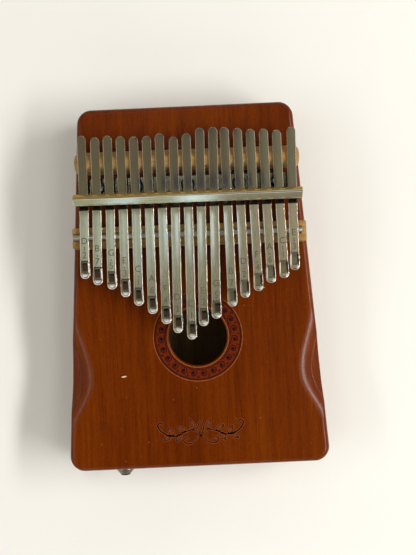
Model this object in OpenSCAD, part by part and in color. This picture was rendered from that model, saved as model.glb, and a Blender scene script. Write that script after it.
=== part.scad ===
// Seventeen-tine thumb piano (mbira or kalimba) with a hollow wooden body, lying on its back.
// Millimetres. X runs left to right, +Y towards the head, +Z out of the soundboard.
// The origin is the centre of the back face.

/* [Body] */
// Length from the tail edge to the head edge
body_len = 185; // [180:1:190]
// Width across the tail edge
tail_w = 134; // [132:1:138]
// Width across the head edge
head_w = 110; // [110:1:114]
// Thickness from the back face to the top face
body_h = 33; // [31:1:36]
// Radius of the four corners in plan
corner_r = 7.5; // [6:0.5:10]
// Thickness of the soundboard
top_t = 3; // [2.5:0.1:3.5]
// Thickness of the back panel
back_t = 3; // [2.5:0.1:3.5]
// Thickness of the two solid side walls
side_t = 12; // [11:0.5:13]
// Thickness of the head and tail blocks
end_t = 11; // [10:0.5:12]

/* [Sound hole and thumb scoops] */
// Radius of the sound hole
hole_r = 14.8; // [12:0.1:16]
// Distance of the sound hole's centre from the middle of the body, towards the tail
hole_back = 25.9; // [24:0.1:28]
// Distance of the sound hole's centre from the centre line, towards the right
hole_right = 1.7; // [0:0.1:2]
// Depth of each thumb scoop at the top face
scoop_depth = 9.2; // [7:0.1:9.4]
// Angle of the scooped face from the vertical
scoop_tilt = 57; // [50:1:60]

/* [Tines] */
// Width of a tine
tine_w = 4.4; // [4:0.1:4.6]
// Thickness of a tine
tine_t = 1; // [0.9:0.05:1.1]
// Distance between neighbouring tines at the bracket
tine_pitch = 6.56; // [6.4:0.01:6.6]
// Speaking length of the longest tine, from the saddle rod to the tip
longest = 52.8; // [50:0.1:54]
// Width of the flattened tip
tip_w = 4.8; // [4.4:0.1:4.8]
// Angle at which the speaking lengths rise from the saddle rod
rise = 5.4; // [4:0.1:7]
// Length of the turned-down tip
tip_len = 9; // [8:0.5:10]
// Angle through which the tip turns down from the speaking length
tip_drop = 11; // [6:0.5:14]

/* [Bridge hardware] */
// Distance of the saddle rod from the middle of the body
saddle_y = 26.4; // [26:0.1:27]
// Diameter of the saddle rod
rod_d = 3; // [2.5:0.1:3.2]
// Height of the saddle rod's top above the soundboard
saddle_h = 8; // [7.8:0.1:8.2]
// Distance of the bracket's ridge from the middle of the body
ridge_y = 45.5; // [45:0.1:46]
// Distance of the rear rail from the middle of the body
rail_y = 64; // [63.5:0.1:64.5]
// Width of the rear rail
rail_w = 11.3; // [11:0.1:11.6]
// Thickness of the bracket's steel sheet
sheet_t = 1.5; // [1.4:0.1:1.6]
// Angle by which the hardware sits askew on the body
skew = -0.45; // [-0.5:0.05:0.5]

/* [Output jack] */
// Distance of the jack from the centre line, towards the left
jack_x = 40; // [30:1:42]
// Radius of the bore that takes the plug
jack_bore_r = 1.8; // [1.75:0.01:1.85]

/* [Hidden] */
$fn = 48;
n_tines = 17;
centre_tine = 8;
mid_w = (tail_w + head_w) / 4;
taper = atan((tail_w - head_w) / 2 / body_len);
top_z = body_h;
under_top = body_h - top_t;
cut = 0.5;
clear = 0.05;

// The notes' places above the lowest one in semitones, from the left tine to the right one.
semitones = [26, 23, 19, 16, 12, 9, 5, 2, 0, 4, 7, 11, 14, 17, 21, 24, 28];
// How far each tine stands out past its calculated speaking length, as left by tuning.
trim = [-1.2, -0.2, -1.3, -0.2, -0.1, 0.5, 0.1, 0, 0, 0.3, 1.3, 0.8, 0.2, 0.3, 0.3, 0.6, -0.3];
// How far each tine's rear end lies behind the rear rail's centre.
rear = [13.1, 12.1, 12.7, 12.2, 11.8, 11.8, 12.9, 11, 12.4, 14.9, 15, 14.8, 14.1, 13.4, 13.3, 12.5, 13.8];
// How far each tine leans sideways, in degrees about the bracket.
lean = [-0.4, -0.8, -0.1, 0, -0.1, 0.1, 0.2, -0.6, -0.4, -0.9, -1, 0.7, 0.7, 1, 1, 1.1, -0.4];
// Share of the pitch ratio that the speaking length takes up.
length_power = 0.585;

// The pressing edge is the lower corner of the bracket's front leg.
front_leg = 5;
rear_leg = 3.5;
leg_run = front_leg * sin(45);
sheet_run = sheet_t * sin(45);
press_y = ridge_y - leg_run + sheet_run;
press_drop = 1.2;
press_z = saddle_h - press_drop + tine_t;
ridge_z = press_z + leg_run + sheet_run;
// Room between a tine and the parts that clamp it, so that it can turn about the saddle rod.
press_gap = 0.6;
rail_gap = 0.65;
rod_gap = 0.1;
rail_h = saddle_h;
rear_slope = 0.1;

bridge_w = 10.7;
bridge_h = 6.6;
bridge_y = 26;
bridge_len = 118;
rail_len = 113.5;
ridge_len = 114.8;
flange_len = 111.6;
flange_end = ridge_y + 11;
screw_y = ridge_y + 6.4;
screw_x = [-45.6, -26.2, 0, 26.2, 45.6];
screw_r = 1.5;
screw_len = 12;
block_w = 15;
block_h = 12;
housing = 6;

jack_z = body_h / 2;
jack_tail = -body_len / 2;
sleeve_r = 2.6;
sleeve_out = 5.6;
sleeve_in = 8;

lead_r = 0.8;
lead_z = back_t + 0.2 + lead_r;
piezo_x = -20;
piezo_y = 34;
piezo_r = 10;

function side_x(y) = mid_w - y * tan(taper);
function speaking(i) = longest * pow(2, -length_power * semitones[i] / 12) + trim[i];
function tine_x(i) = (i - centre_tine) * tine_pitch;
// Cubic curve from (0, a) to (1, b) whose end slopes are p and q.
function hermite(t, a, b, p, q) = a * (2 * pow(t, 3) - 3 * t * t + 1) + b * (3 * t * t - 2 * pow(t, 3))
    + p * (pow(t, 3) - 2 * t * t + t) + q * (pow(t, 3) - t * t);

// ---- Body ----

// Rounded trapezium: the straight edges meet four corner circles at their tangent points.
module outline() {
    tail_c = [side_x(-body_len / 2 + corner_r) - corner_r / cos(taper), -body_len / 2 + corner_r];
    head_c = [side_x(body_len / 2 - corner_r) - corner_r / cos(taper), body_len / 2 - corner_r];
    out = corner_r * [cos(taper), sin(taper)];
    right = [[tail_c.x, -body_len / 2], tail_c + out, head_c + out, [head_c.x, body_len / 2]];
    left = [for (k = [3 : -1 : 0]) [-right[k].x, right[k].y]];
    polygon(concat(right, left));
    for (side = [-1, 1], c = [tail_c, head_c])
        translate([side * c.x, c.y]) circle(corner_r);
}

// Plan of a thumb scoop at the top face: a smooth bay, longer towards the head than towards the tail.
scoop_y = -47;
scoop_head_run = 38;
scoop_tail_run = 27;
function bay(y) = let (run = y > scoop_y ? scoop_head_run : scoop_tail_run, t = (y - scoop_y) / run)
    abs(t) >= 1 ? 0 : scoop_depth * pow(cos(90 * t), 2);

module scoop_cutter() {
    steps = 26;
    low = scoop_y - scoop_tail_run;
    high = scoop_y + scoop_head_run;
    edge = [for (k = [0 : steps]) let (y = low + (high - low) * k / steps) [side_x(y) - bay(y), y]];
    outer = 12;
    depth = body_h;
    translate([0, 0, top_z]) multmatrix([[1, 0, tan(scoop_tilt) * -1, 0], [0, 1, 0, 0], [0, 0, 1, 0]])
        translate([0, 0, -depth]) linear_extrude(depth + cut)
            polygon(concat(edge, [[side_x(high) + outer + depth, high], [side_x(low) + outer + depth, low]]));
}

module body_form() {
    difference() {
        linear_extrude(body_h) outline();
        scoop_cutter();
        mirror([1, 0, 0]) scoop_cutter();
    }
}

// A slice of the body between two heights.
module body_slice(z0, z1) {
    intersection() {
        body_form();
        translate([-tail_w, -body_len, z0]) cube([2 * tail_w, 2 * body_len, z1 - z0]);
    }
}

// Turns the hardware about the middle of the bracket's ridge.
module askew() {
    translate([0, ridge_y, 0]) rotate([0, 0, skew]) translate([0, -ridge_y, 0]) children();
}

module screw_holes(z0, z1) {
    askew() for (x = screw_x)
        translate([x, screw_y, z0]) cylinder(h = z1 - z0, r = screw_r + clear);
}

module soundboard() {
    color([0.42, 0.17, 0.04]) difference() {
        body_slice(under_top, top_z);
        translate([hole_right, -hole_back, under_top - cut])
            cylinder(h = top_t + 2 * cut, r = hole_r, $fn = 96);
        screw_holes(under_top - cut, top_z + cut);
    }
}

module back_panel() {
    color([0.36, 0.15, 0.05]) body_slice(0, back_t);
}

// Cross brace under the soundboard. Its ends are housed in the side walls.
module brace() {
    low = screw_y - block_w / 2;
    high = screw_y + block_w / 2;
    to_end = housing - side_t;
    translate([0, 0, under_top - block_h]) linear_extrude(block_h)
        polygon([[side_x(low) + to_end, low], [side_x(high) + to_end, high],
                 [-side_x(high) - to_end, high], [-side_x(low) - to_end, low]]);
}

// The side walls run between the two end blocks.
module right_side() {
    low = -body_len / 2 + end_t;
    high = body_len / 2 - end_t;
    color([0.38, 0.15, 0.05]) difference() {
        intersection() {
            body_slice(back_t, under_top);
            linear_extrude(body_h) polygon([[side_x(low) - side_t, low], [tail_w, low],
                                            [tail_w, high], [side_x(high) - side_t, high]]);
        }
        brace();
    }
}

module left_side() {
    mirror([1, 0, 0]) right_side();
}

module head_block() {
    color([0.38, 0.15, 0.05]) intersection() {
        body_slice(back_t, under_top);
        translate([-tail_w, body_len / 2 - end_t, 0]) cube([2 * tail_w, 2 * end_t, body_h]);
    }
}

module tail_block() {
    color([0.38, 0.15, 0.05]) difference() {
        intersection() {
            body_slice(back_t, under_top);
            translate([-tail_w, -body_len / 2 - end_t, 0]) cube([2 * tail_w, 2 * end_t, body_h]);
        }
        translate([-jack_x, jack_tail - cut, jack_z]) rotate([-90, 0, 0])
            cylinder(h = end_t + 2 * cut, r = sleeve_r + clear);
    }
}

// The bracket's screws bite into the brace.
module bridge_block() {
    color([0.66, 0.5, 0.32]) difference() {
        brace();
        screw_holes(top_z + sheet_t - screw_len, under_top + cut);
    }
}

// ---- Bridge hardware ----

// Extrudes a profile drawn in Y and Z along X, centred on X = 0.
module along_x(length) {
    translate([-length / 2, 0, 0]) rotate([90, 0, 90]) linear_extrude(length) children();
}

module rear_rail() {
    r = rail_w / 2;
    color([0.72, 0.52, 0.3]) askew() translate([0, 0, top_z]) along_x(rail_len) translate([rail_y, 0]) {
        intersection() {
            translate([0, rail_h - r]) circle(r, $fn = 64);
            translate([-r, 0]) square([rail_w, rail_h + cut]);
        }
        translate([-r, 0]) square([rail_w, rail_h - r]);
    }
}

module front_bridge() {
    round_r = 1.8;
    groove_w = rod_d + 1.2;
    color([0.66, 0.46, 0.26]) askew() translate([0, 0, top_z]) along_x(bridge_len) difference() {
        translate([bridge_y - bridge_w / 2, 0]) union() {
            square([bridge_w, bridge_h - round_r]);
            translate([round_r, 0]) square([bridge_w - 2 * round_r, bridge_h]);
            for (y = [round_r, bridge_w - round_r]) translate([y, bridge_h - round_r]) circle(round_r);
        }
        translate([saddle_y - groove_w / 2, saddle_h - rod_d]) square([groove_w, rod_d]);
    }
}

module saddle_rod() {
    color([0.75, 0.75, 0.72]) askew() translate([-0.6, saddle_y, top_z + saddle_h - rod_d / 2])
        rotate([0, 90, 0]) translate([0, 0, -(bridge_len - 2.4) / 2])
            cylinder(h = bridge_len - 2.4, r = rod_d / 2);
}

// One piece of folded sheet: screwed flange, wall with a window for each tine, and a roof-shaped top whose
// front leg presses the tines down.
module tine_bracket() {
    window_w = 5.4;
    window_low = 4.9;
    window_high = 9.4;
    wall_y = ridge_y - sheet_t / 2;
    rear_run = rear_leg * sin(45);
    color([0.78, 0.76, 0.68]) askew() translate([0, 0, top_z]) difference() {
        union() {
            along_x(flange_len) {
                translate([wall_y, 0]) square([flange_end - wall_y, sheet_t]);
                translate([wall_y, 0]) square([sheet_t, ridge_z - 1.5 * sheet_t]);
            }
            along_x(ridge_len) polygon([
                [ridge_y, ridge_z],
                [ridge_y - leg_run, ridge_z - leg_run],
                [press_y, press_z],
                [ridge_y, ridge_z - 2 * sheet_run],
                [ridge_y + rear_run - sheet_run, ridge_z - rear_run - sheet_run],
                [ridge_y + rear_run, ridge_z - rear_run]]);
        }
        for (i = [0 : n_tines - 1])
            translate([tine_x(i) - window_w / 2, wall_y - cut, window_low])
                cube([window_w, sheet_t + 2 * cut, window_high - window_low]);
        for (x = screw_x) translate([x, screw_y, -cut]) cylinder(h = sheet_t + 2 * cut, r = screw_r + clear);
    }
}

module bracket_screws() {
    head_r = 3.6;
    head_h = 2;
    slot_w = 0.9;
    color([0.5, 0.56, 0.58]) askew() for (x = screw_x) translate([x, screw_y, top_z + sheet_t]) {
        difference() {
            union() {
                cylinder(h = head_h * 0.4, r = head_r);
                translate([0, 0, head_h * 0.4]) cylinder(h = head_h * 0.6, r1 = head_r, r2 = head_r * 0.6);
            }
            for (turn = [0, 90]) rotate(turn) translate([-head_r / 2, -slot_w / 2, head_h * 0.5])
                cube([head_r, slot_w, head_h]);
        }
        translate([0, 0, -screw_len]) cylinder(h = screw_len, r = screw_r);
    }
}

// ---- Tines ----

// Height of a tine's underside above the soundboard, at y, where tip_y is the place of its tip.
function clamped_z(y) = let (
        low = press_z - tine_t - press_gap, high = rail_h + rail_gap, seat = saddle_h + rod_gap,
        front = press_y - saddle_y, back = rail_y - press_y)
    y > rail_y ? high + (y - rail_y) * rear_slope
    : y > press_y ? hermite((y - press_y) / back, low, high, 0, back * rear_slope)
    : hermite((y - saddle_y) / front, seat, low, -front * tan(rise), 0);
// The tip turns down over a short bend, then falls away at its very end.
function tip_z(s) = let (bend = 2, fall = tan(tip_drop))
    s < 0 ? 0 : s < bend ? -fall * s * s / (2 * bend) : -fall * (s - bend / 2) - (s > tip_len - 1.6 ? 0.12 * pow(s - tip_len + 1.6, 2) : 0);
function free_z(y, tip_y) = saddle_h + rod_gap + (saddle_y - y) * tan(rise) + tip_z(tip_y + tip_len - y);
function under_z(y, tip_y) = y > saddle_y ? clamped_z(y) : free_z(y, tip_y);

module tine(i) {
    tip_y = saddle_y - speaking(i);
    rear_y = rail_y + rear[i];
    tip_steps = 8;
    back_steps = 18;
    ys = concat(
        [for (k = [0 : tip_steps]) tip_y - cut + (tip_len + cut) * k / tip_steps],
        [for (k = [0 : back_steps]) saddle_y + (rail_y - saddle_y) * k / back_steps],
        [rear_y + cut]);
    lower = [for (y = ys) [y, under_z(y, tip_y)]];
    upper = [for (k = [len(ys) - 1 : -1 : 0]) lower[k] + [0, tine_t]];
    flat_len = tip_len - 1.5;
    color([0.66, 0.66, 0.6]) askew() translate([tine_x(i), ridge_y, top_z]) rotate([0, 0, lean[i]])
        translate([0, -ridge_y, 0]) intersection() {
            along_x(tip_w + 2) polygon(concat(lower, upper));
            linear_extrude(30) {
                translate([-tine_w / 2, tip_y + tip_w / 2])
                    square([tine_w, rear_y - tip_y - tine_w / 2 - tip_w / 2]);
                translate([0, rear_y - tine_w / 2]) circle(tine_w / 2);
                translate([-tip_w / 2, tip_y + tip_w / 2]) square([tip_w, flat_len - tip_w / 2]);
                translate([0, tip_y + tip_w / 2]) circle(tip_w / 2);
            }
        }
}

// ---- Pickup and output jack ----

// Places a shape that is turned about the jack's axis, with its Z pointing out of the tail.
module on_jack(out) {
    translate([-jack_x, jack_tail - out, jack_z]) rotate([90, 0, 0]) children();
}

// Threaded sleeve that carries the plug: blind bore, open at the tail.
module jack_sleeve() {
    length = sleeve_out + end_t + sleeve_in;
    color([0.75, 0.74, 0.7]) on_jack(sleeve_out) difference() {
        translate([0, 0, -length]) cylinder(h = length, r = sleeve_r);
        translate([0, 0, -length + 10]) cylinder(h = length, r = jack_bore_r);
    }
}

module jack_washer() {
    color([0.8, 0.79, 0.75]) on_jack(0) difference() {
        cylinder(h = 0.6, r = 6);
        translate([0, 0, -cut]) cylinder(h = 2, r = sleeve_r + clear);
    }
}

// Conical nut on the outside of the tail.
module jack_dress_nut() {
    nut_h = 4.3;
    collar_h = 1.8;
    color([0.78, 0.76, 0.7]) on_jack(0.6) difference() {
        union() {
            cylinder(h = collar_h, r = 5.2);
            translate([0, 0, collar_h]) cylinder(h = nut_h - collar_h, r1 = 5.2, r2 = 2.95);
        }
        translate([0, 0, -cut]) cylinder(h = nut_h + 2 * cut, r = sleeve_r + clear);
    }
}

module jack_lock_nut() {
    color([0.7, 0.68, 0.55]) on_jack(-end_t) difference() {
        translate([0, 0, -2]) cylinder(h = 2, r = 4.6, $fn = 6);
        translate([0, 0, -3]) cylinder(h = 4, r = sleeve_r + clear);
    }
}

module jack_contact_block() {
    color([0.1, 0.1, 0.1]) on_jack(-end_t - sleeve_in) translate([-4, -3.5, -7]) cube([8, 7, 7]);
}

module jack_lugs() {
    color([0.8, 0.68, 0.35]) for (x = [-1, 1])
        on_jack(-end_t - sleeve_in - 7) translate([x - 0.5, -0.25, -3]) cube([1, 0.5, 3]);
}

module piezo_disc() {
    color([0.85, 0.66, 0.3]) translate([piezo_x, piezo_y - 10, under_top - 0.4]) cylinder(h = 0.4, r = piezo_r);
}

module piezo_ceramic() {
    color([0.9, 0.9, 0.86]) translate([piezo_x, piezo_y - 10, under_top - 0.8])
        cylinder(h = 0.4, r = piezo_r * 0.7);
}

// Route of the lead from the jack's lugs to the rim of the piezo disc: along the back panel, then up.
lead_route = [
    [-jack_x, -63.5, jack_z], [-jack_x, -61.5, jack_z], [-40.5, -58, 13], [-41.5, -54, 7.5],
    [-42.5, -50, 4.6], [-43.5, -45, lead_z], [-43.5, -36, lead_z], [-44, -24, lead_z], [-43.5, -12, lead_z],
    [-42.5, 0, lead_z], [-41, 6, 5], [-38.5, 10, 8.5], [-35, 13, 13.5], [-31.5, 15, 18.5], [-28.5, 17, 23],
    [-27, 18.5, 26.5], [-26.8, 18.9, 28.4], [-26.8, 18.9, under_top - 0.4]];
lead_sides = 8;

// Points of a ring about a route's point, square to the way the route runs there.
function route_dir(k) = let (a = lead_route[max(k - 1, 0)], b = lead_route[min(k + 1, len(lead_route) - 1)],
    d = b - a) d / norm(d);
function route_ring(k) = let (d = route_dir(k), u0 = cross(d, [1, 0, 0.2]), u = u0 / norm(u0), v = cross(d, u))
    [for (j = [0 : lead_sides - 1]) let (a = 360 * j / lead_sides)
        lead_route[k] + lead_r * (cos(a) * u + sin(a) * v)];

module pickup_lead() {
    rings = len(lead_route);
    points = [for (k = [0 : rings - 1]) each route_ring(k)];
    walls = [for (k = [0 : rings - 2], j = [0 : lead_sides - 1]) let (
        a = k * lead_sides + j, b = k * lead_sides + (j + 1) % lead_sides)
        each [[a, b, b + lead_sides], [a, b + lead_sides, a + lead_sides]]];
    first = [for (j = [lead_sides - 1 : -1 : 0]) j];
    last = [for (j = [0 : lead_sides - 1]) (rings - 1) * lead_sides + j];
    color([0.12, 0.12, 0.12]) polyhedron(points, concat([first], walls, [last]));
}

// Small saddles that hold the lead down on the back panel.
module lead_clips() {
    color([0.9, 0.9, 0.88]) for (spot = [[-43.5, -36], [-43.5, -12]])
        translate([spot.x, spot.y, back_t]) difference() {
            translate([-3, -2.5, 0]) cube([6, 5, 3]);
            translate([-1.4, -3, -cut]) cube([2.8, 6, cut + 2.1]);
        }
}

soundboard();
left_side();
right_side();
head_block();
tail_block();
back_panel();
bridge_block();
rear_rail();
front_bridge();
saddle_rod();
tine_bracket();
bracket_screws();
jack_sleeve();
jack_dress_nut();
jack_washer();
jack_lock_nut();
jack_contact_block();
jack_lugs();
piezo_disc();
piezo_ceramic();
pickup_lead();
lead_clips();
for (i = [0 : n_tines - 1])
    tine(i);
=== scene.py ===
"""Looks of the seventeen-tine thumb piano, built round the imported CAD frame.

Lengths are written in millimetres and turned into metres where meshes are made.
"""

import math

import bpy
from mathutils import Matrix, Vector


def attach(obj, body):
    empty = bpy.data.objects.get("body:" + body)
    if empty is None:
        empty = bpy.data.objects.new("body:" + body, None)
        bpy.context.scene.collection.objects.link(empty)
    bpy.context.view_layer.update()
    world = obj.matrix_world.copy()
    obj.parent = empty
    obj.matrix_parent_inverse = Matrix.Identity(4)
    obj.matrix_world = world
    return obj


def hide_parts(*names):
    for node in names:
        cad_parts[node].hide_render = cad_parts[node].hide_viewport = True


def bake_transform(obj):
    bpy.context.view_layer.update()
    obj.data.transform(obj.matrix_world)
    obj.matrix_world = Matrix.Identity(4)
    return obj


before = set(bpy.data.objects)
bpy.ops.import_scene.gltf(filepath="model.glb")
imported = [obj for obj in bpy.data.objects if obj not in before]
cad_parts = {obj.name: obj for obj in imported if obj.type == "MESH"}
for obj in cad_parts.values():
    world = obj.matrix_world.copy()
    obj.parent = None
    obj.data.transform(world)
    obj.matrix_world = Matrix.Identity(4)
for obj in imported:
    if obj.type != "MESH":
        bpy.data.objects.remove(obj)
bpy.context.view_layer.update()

MM = 0.001
ROOT = "root"

# ---- The object's dimensions, as in the CAD ----

BODY_LEN = 185.0
TAIL_W = 134.0
HEAD_W = 110.0
BODY_H = 33.0
CORNER_R = 7.5
PLATE_T = 3.0
SIDE_T = 12.0
END_T = 11.0
HALF_MID_W = (TAIL_W + HEAD_W) / 4
TAPER = math.atan((TAIL_W - HEAD_W) / 2 / BODY_LEN)
UNDER_TOP = BODY_H - PLATE_T

HOLE_R = 14.8
HOLE_Y = -25.9
HOLE_X = 1.7

SCOOP_Y = -47.0
SCOOP_HEAD_RUN = 38.0
SCOOP_TAIL_RUN = 27.0
SCOOP_DEPTH = 9.2
SCOOP_TAN = math.tan(math.radians(57))

N_TINES = 17
CENTRE_TINE = N_TINES // 2
TINE_W = 4.4
TINE_T = 1.0
TIP_W = 4.8
TIP_LEN = 9.0
PITCH = 6.56
LONGEST = 52.8
# Pitch of each tine above the longest, left to right, in semitones.
SEMITONES = [26, 23, 19, 16, 12, 9, 5, 2, 0, 4, 7, 11, 14, 17, 21, 24, 28]
# What each tine's tuning adds to its speaking length.
TRIM = [-1.2, -0.2, -1.3, -0.2, -0.1, 0.5, 0.1, 0, 0, 0.3, 1.3, 0.8, 0.2, 0.3, 0.3, 0.6, -0.3]
# How far each tine reaches past the middle of the rail.
REAR = [13.1, 12.1, 12.7, 12.2, 11.8, 11.8, 12.9, 11, 12.4, 14.9, 15, 14.8, 14.1, 13.4, 13.3, 12.5, 13.8]
# How far each tine leans sideways, in degrees about the bar.
LEAN = [-0.4, -0.8, -0.1, 0, -0.1, 0.1, 0.2, -0.6, -0.4, -0.9, -1, 0.7, 0.7, 1, 1, 1.1, -0.4]
# Share of the pitch ratio that the speaking length takes up.
LENGTH_POWER = 0.585
# Slope of a tine between the rod and its tip, and behind the rail.
RISE = math.tan(math.radians(5.4))
REAR_RISE = 0.1

SADDLE_Y = 26.4
SADDLE_H = 8.0
ROD_D = 3.0
RIDGE_Y = 45.5
# The bracket, rail, bridge and rod sit a little askew on the body.
SKEW = math.radians(-0.45)
RAIL_Y = 64.0
RAIL_W = 11.3
RAIL_LEN = 113.5
FRONT_LEG = 5.0
REAR_LEG = 3.5
SHEET = 1.5
FOLD = math.sin(math.radians(45))
LEG_RUN = FRONT_LEG * FOLD
REAR_RUN = REAR_LEG * FOLD
SHEET_RUN = SHEET * FOLD
PRESS_Y = RIDGE_Y - LEG_RUN + SHEET_RUN
PRESS_DROP = 1.2
PRESS_Z = SADDLE_H - PRESS_DROP + TINE_T
BAR_FRONT = RIDGE_Y - LEG_RUN
RIDGE_Z = PRESS_Z + LEG_RUN + SHEET_RUN
RIDGE_LEN = 114.8
FLANGE_LEN = 111.6
FLANGE_END = RIDGE_Y + 11
SCREW_Y = RIDGE_Y + 6.4
SCREW_X = [-45.6, -26.2, 0, 26.2, 45.6]
BRIDGE_Y = 26.0
BRIDGE_W = 10.7
BRIDGE_H = 6.6
BRIDGE_LEN = 118.0

JACK_X = -40.0
JACK_Z = BODY_H / 2
TAIL_Y = -BODY_LEN / 2


# ---- Mesh helpers ----

def askew(x, y, z):
    """Turns a point of the hardware about the middle of the bar, as the hardware sits on the body."""
    dy = y - RIDGE_Y
    c, s = math.cos(SKEW), math.sin(SKEW)
    return (x * c - dy * s, RIDGE_Y + x * s + dy * c, z)


def make_mesh(name, verts, faces, material, body=ROOT, sharp=35, smooth=True, slots=None):
    """A mesh object from points in millimetres, riding on a body, if one is given.

    slots gives each face's material. Edges sharper than sharp, in degrees, stay hard.
    """
    mesh = bpy.data.meshes.new(name)
    mesh.from_pydata([(x * MM, y * MM, z * MM) for x, y, z in verts], [], faces)
    for mat in material if isinstance(material, list) else [material]:
        mesh.materials.append(mat)
    if slots:
        mesh.polygons.foreach_set("material_index", slots)
    mesh.polygons.foreach_set("use_smooth", [smooth] * len(mesh.polygons))
    mesh.update()
    if smooth:
        mesh.set_sharp_from_angle(angle=math.radians(sharp))
    obj = bpy.data.objects.new(name, mesh)
    bpy.context.scene.collection.objects.link(obj)
    if body:
        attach(obj, body)
    return obj


class Parts:
    """Collects points and faces of several closed shapes into one mesh."""

    def __init__(self):
        self.verts = []
        self.faces = []
        self.slots = []

    def add(self, verts, faces, slot=0):
        start = len(self.verts)
        self.verts.extend(verts)
        self.faces.extend([tuple(start + k for k in face) for face in faces])
        self.slots.extend([slot] * len(faces))

    def turn(self):
        """Turns everything collected so far with the hardware."""
        self.verts = [askew(*v) for v in self.verts]

    def build(self, name, material, **options):
        return make_mesh(name, self.verts, self.faces, material, slots=self.slots, **options)


def skin(rings, closed_ring=True, cap_start=True, cap_end=True):
    """Points and faces of a surface through rings that all have the same number of points."""
    n = len(rings[0])
    verts = [p for ring in rings for p in ring]
    faces = []
    for k in range(len(rings) - 1):
        for j in range(n if closed_ring else n - 1):
            a = k * n + j
            b = k * n + (j + 1) % n
            faces.append((a, b, b + n, a + n))
    if cap_start:
        faces.append(tuple(reversed(range(n))))
    if cap_end:
        faces.append(tuple((len(rings) - 1) * n + j for j in range(n)))
    return verts, faces


def arc(cx, cy, r, a0, a1, steps):
    """Points of a circular arc, angles in degrees."""
    angles = [math.radians(a0 + (a1 - a0) * k / steps) for k in range(steps + 1)]
    return [(cx + r * math.cos(a), cy + r * math.sin(a)) for a in angles]


def circle(cx, cy, r, steps):
    """Points of a circle, anticlockwise."""
    angles = [2 * math.pi * k / steps for k in range(steps)]
    return [(cx + r * math.cos(a), cy + r * math.sin(a)) for a in angles]


def round_profile(points, radii, steps=5):
    """A closed outline with its corners rounded. radii has one radius for each corner."""
    out = []
    n = len(points)
    for k in range(n):
        p = Vector(points[k])
        a = Vector(points[k - 1]) - p
        b = Vector(points[(k + 1) % n]) - p
        half = a.angle(b) / 2
        r = radii[k]
        if r <= 0:
            out.append(tuple(p))
            continue
        cutback = min(r / math.tan(half), a.length * 0.49, b.length * 0.49)
        start = p + a.normalized() * cutback
        end = p + b.normalized() * cutback
        for j in range(steps + 1):
            t = j / steps
            q = start * (1 - t) ** 2 + p * 2 * t * (1 - t) + end * t ** 2
            out.append(tuple(q))
    return out


def extrude_x(profile, x0, x1, edge):
    """A profile in Y and Z run along X, with its ends eased inwards by edge.

    The second ring at each end keeps that easing out of the shading of the long faces.
    """
    cy = sum(p[0] for p in profile) / len(profile)
    cz = sum(p[1] for p in profile) / len(profile)
    reach = max(max(abs(p[0] - cy), abs(p[1] - cz)) for p in profile)
    shrink = 1 - edge / reach
    rings = []
    for x, s in ((x0, shrink), (x0 + edge, 1), (x0 + 2 * edge, 1),
                 (x1 - 2 * edge, 1), (x1 - edge, 1), (x1, shrink)):
        rings.append([(x, cy + (y - cy) * s, cz + (z - cz) * s) for y, z in profile])
    return skin(rings)


def turned(profile, place, steps=40, capped=True):
    """A turned shape: profile is radius and height, place maps a point to its spot."""
    rings = [[place(a, b, h) for a, b in circle(0, 0, r, steps)] for r, h in profile]
    return skin(rings, True, capped, capped)


def ribbon(path, widths, z, thick=0.05):
    """A thin closed strip that follows a path in the plane, with a width for each point of it."""
    n = len(path)
    low = z - thick
    rings = []
    for k in range(n):
        a = Vector(path[max(k - 1, 0)])
        b = Vector(path[min(k + 1, n - 1)])
        d = (b - a).normalized()
        side = Vector((-d.y, d.x)) * widths[k] / 2
        p = Vector(path[k])
        left, right = p + side, p - side
        rings.append([(left.x, left.y, z), (right.x, right.y, z),
                      (right.x, right.y, low), (left.x, left.y, low)])
    return skin(rings)


# ---- Materials ----

def new_material(name):
    mat = bpy.data.materials.new(name)
    mat.use_nodes = True
    tree = mat.node_tree
    tree.nodes.clear()
    out = tree.nodes.new("ShaderNodeOutputMaterial")
    bsdf = tree.nodes.new("ShaderNodeBsdfPrincipled")
    tree.links.new(bsdf.outputs["BSDF"], out.inputs["Surface"])
    return mat, tree, bsdf


def node(tree, kind, inputs=None, **props):
    """A shader node with its properties and inputs. An input is a value or another node's socket."""
    made = tree.nodes.new(kind)
    for key, value in props.items():
        setattr(made, key, value)
    for key, value in (inputs or {}).items():
        if isinstance(value, bpy.types.NodeSocket):
            tree.links.new(value, made.inputs[key])
        else:
            made.inputs[key].default_value = value
    return made


def ramp(tree, fac, stops):
    """A colour ramp. stops are (position, colour)."""
    made = tree.nodes.new("ShaderNodeValToRGB")
    elements = made.color_ramp.elements
    while len(elements) < len(stops):
        elements.new(0.5)
    for element, (position, colour) in zip(elements, stops):
        element.position = position
        element.color = (*colour, 1)
    tree.links.new(fac, made.inputs["Fac"])
    return made.outputs["Color"]


def mapping(tree, scale=(1, 1, 1), location=(0, 0, 0)):
    """Object coordinates in metres, scaled and moved."""
    coords = node(tree, "ShaderNodeTexCoord")
    made = node(tree, "ShaderNodeMapping", {"Vector": coords.outputs["Object"], "Scale": scale,
                                            "Location": location})
    return made.outputs["Vector"]


def drawn_out(along, squeeze):
    """A scale that draws a pattern out along the X or the Y axis."""
    return (squeeze, 1, 1) if along == "X" else (1, squeeze, 1)


def noise(tree, vector, scale, detail=4, rough=0.5, distortion=0.0):
    made = node(tree, "ShaderNodeTexNoise", {"Vector": vector, "Scale": scale, "Detail": detail,
                                             "Roughness": rough, "Distortion": distortion})
    return made.outputs["Fac"]


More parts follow.
